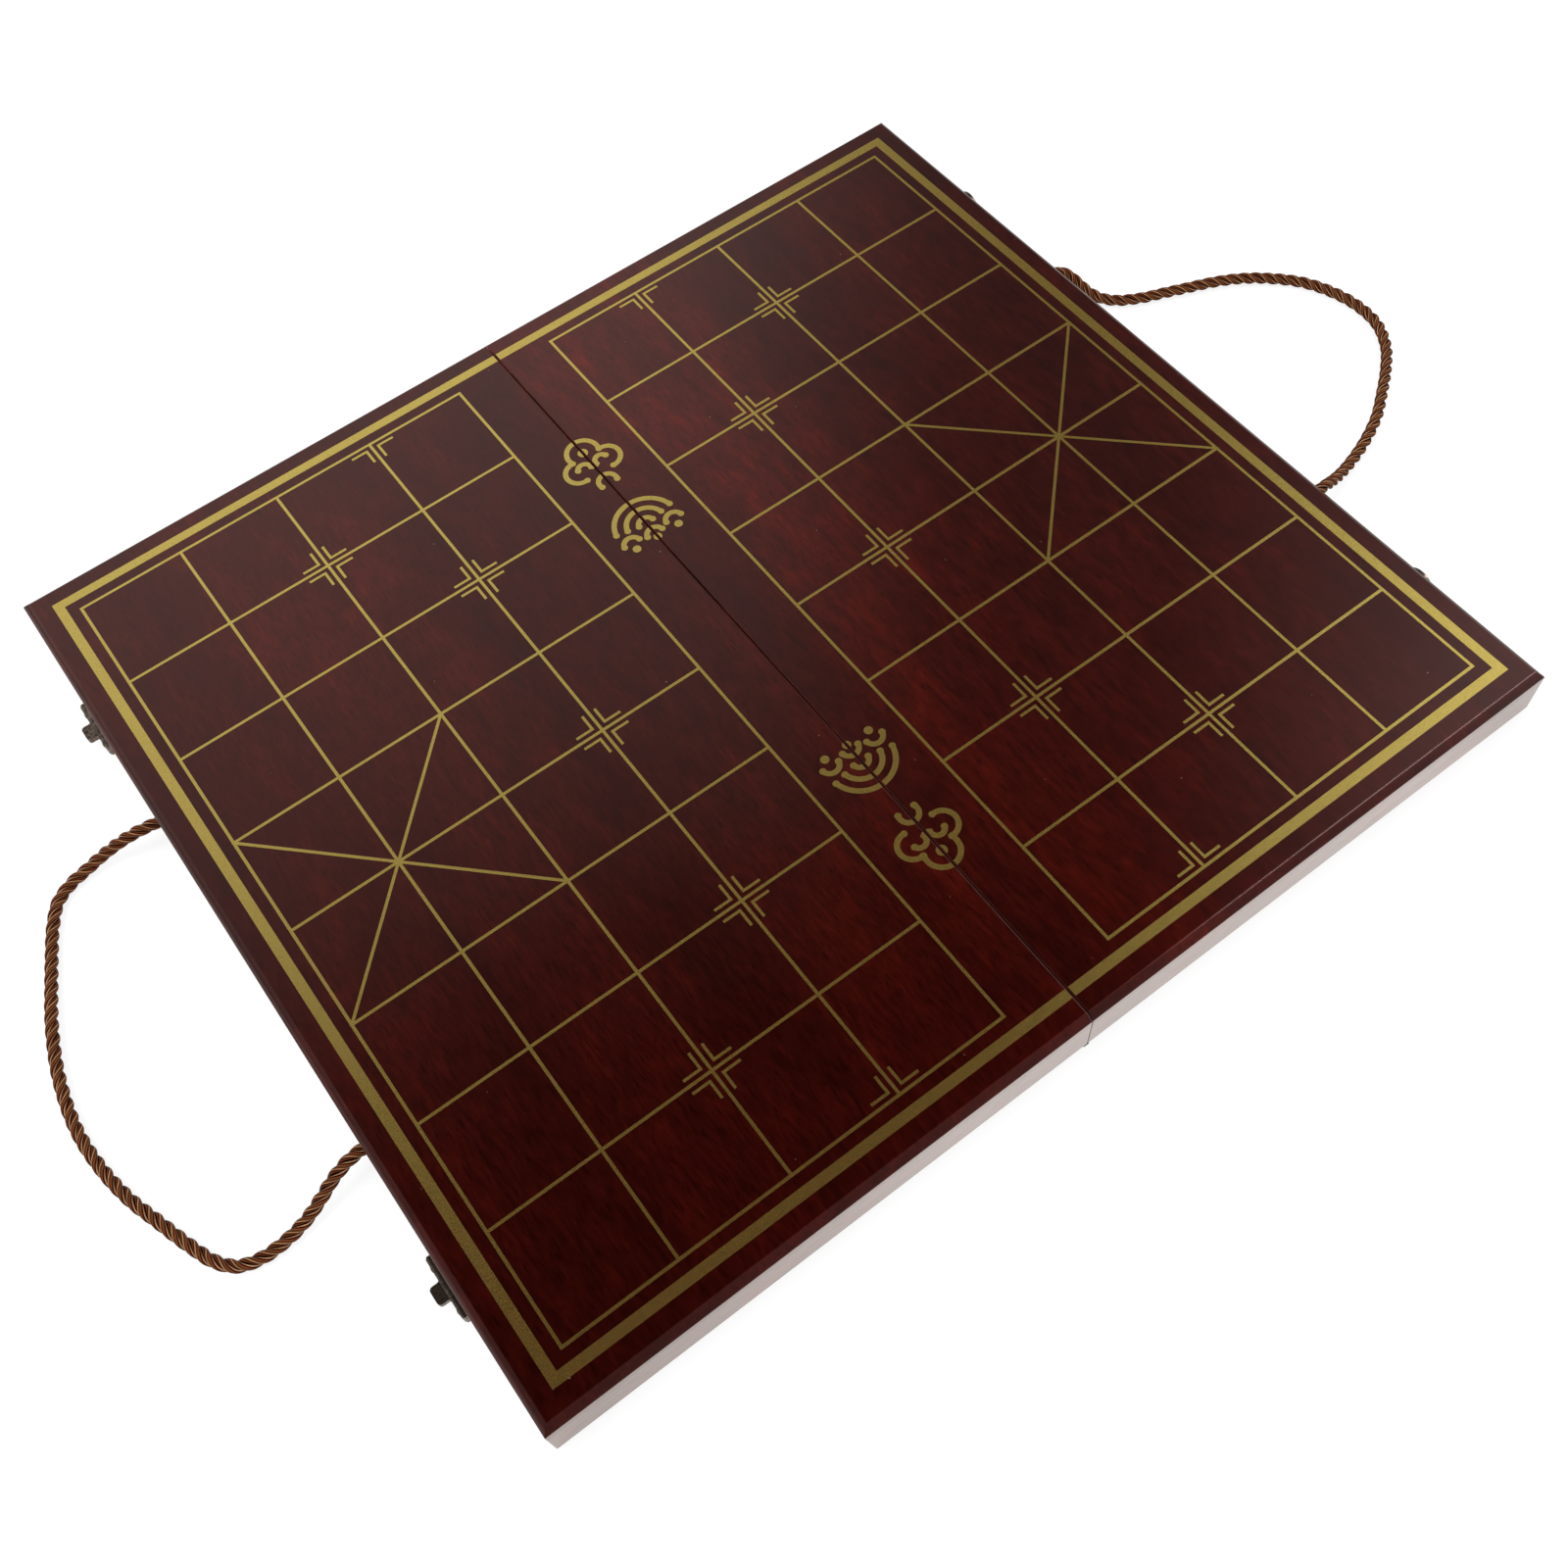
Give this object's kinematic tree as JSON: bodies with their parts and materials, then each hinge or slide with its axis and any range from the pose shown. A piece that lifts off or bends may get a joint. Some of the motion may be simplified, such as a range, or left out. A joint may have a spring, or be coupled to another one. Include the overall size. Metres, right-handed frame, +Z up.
{
  "type": "folding board game box",
  "caption": "Two shallow hinged trays that open flat into a lacquered river chess board and close into a box with rope handles and hasps.",
  "frame": {"origin": "under the middle of the fold, on the surface that the opened board stands on", "axes": "+Z up out of the playing face, +X across the fold towards the half with the hasps, +Y along the fold"},
  "size_m": [0.6238, 0.396, 0.0255],
  "materials": {
    "lacquered_panel": "dark red-brown wood veneer under glossy clear lacquer",
    "lacquered_wall": "dark red-brown wood under glossy clear lacquer",
    "gold_print": "satin screen-printed gold ink",
    "flocked_card": "short dark green flock",
    "bronze": "antique bronze plate, rubbed at the edges",
    "brass": "thin brass plate, lightly brushed",
    "steel": "drawn wire",
    "silk_rope": "shiny three-strand twist in copper and brown"
  },
  "bodies": {
    "left_half": {"left_play_panel": "lacquered_panel", "left_gold_print": "gold_print", "left_outer_wall": "lacquered_wall", "left_inner_wall": "lacquered_wall", "left_front_wall": "lacquered_wall", "left_back_wall": "lacquered_wall", "left_lining": "flocked_card", "front_catch_plate": "bronze", "back_catch_plate": "bronze", "catch_nails": "bronze", "left_rope_handle": "silk_rope", "left_rope_knots": "silk_rope", "front_hinge_left_leaf": "brass", "back_hinge_left_leaf": "brass", "front_hinge_pin": "steel", "back_hinge_pin": "steel", "left_hinge_screws": "brass"},
    "right_half": {"right_play_panel": "lacquered_panel", "right_gold_print": "gold_print", "right_outer_wall": "lacquered_wall", "right_inner_wall": "lacquered_wall", "right_front_wall": "lacquered_wall", "right_back_wall": "lacquered_wall", "right_lining": "flocked_card", "front_hasp_base": "bronze", "back_hasp_base": "bronze", "front_hasp_pin": "steel", "back_hasp_pin": "steel", "hasp_nails": "bronze", "right_rope_handle": "silk_rope", "right_rope_knots": "silk_rope", "front_hinge_right_leaf": "brass", "back_hinge_right_leaf": "brass", "right_hinge_screws": "brass"},
    "front_hasp": {"front_hasp_flap": "bronze"},
    "back_hasp": {"back_hasp_flap": "bronze"}
  },
  "joints": [
    {"name": "fold", "type": "hinge", "parent": "left_half", "child": "right_half", "pos_m": [0, 0, 0.00125], "axis": [0, 1, 0], "range_deg": [0, 180]},
    {"name": "front_hasp_swing", "type": "hinge", "parent": "right_half", "child": "front_hasp", "pos_m": [0.2232, -0.1365, 0.00435], "axis": [0, 1, 0], "range_deg": [0, 180]},
    {"name": "back_hasp_swing", "type": "hinge", "parent": "right_half", "child": "back_hasp", "pos_m": [0.2232, 0.1365, 0.00435], "axis": [0, 1, 0], "range_deg": [0, 180]}
  ]
}
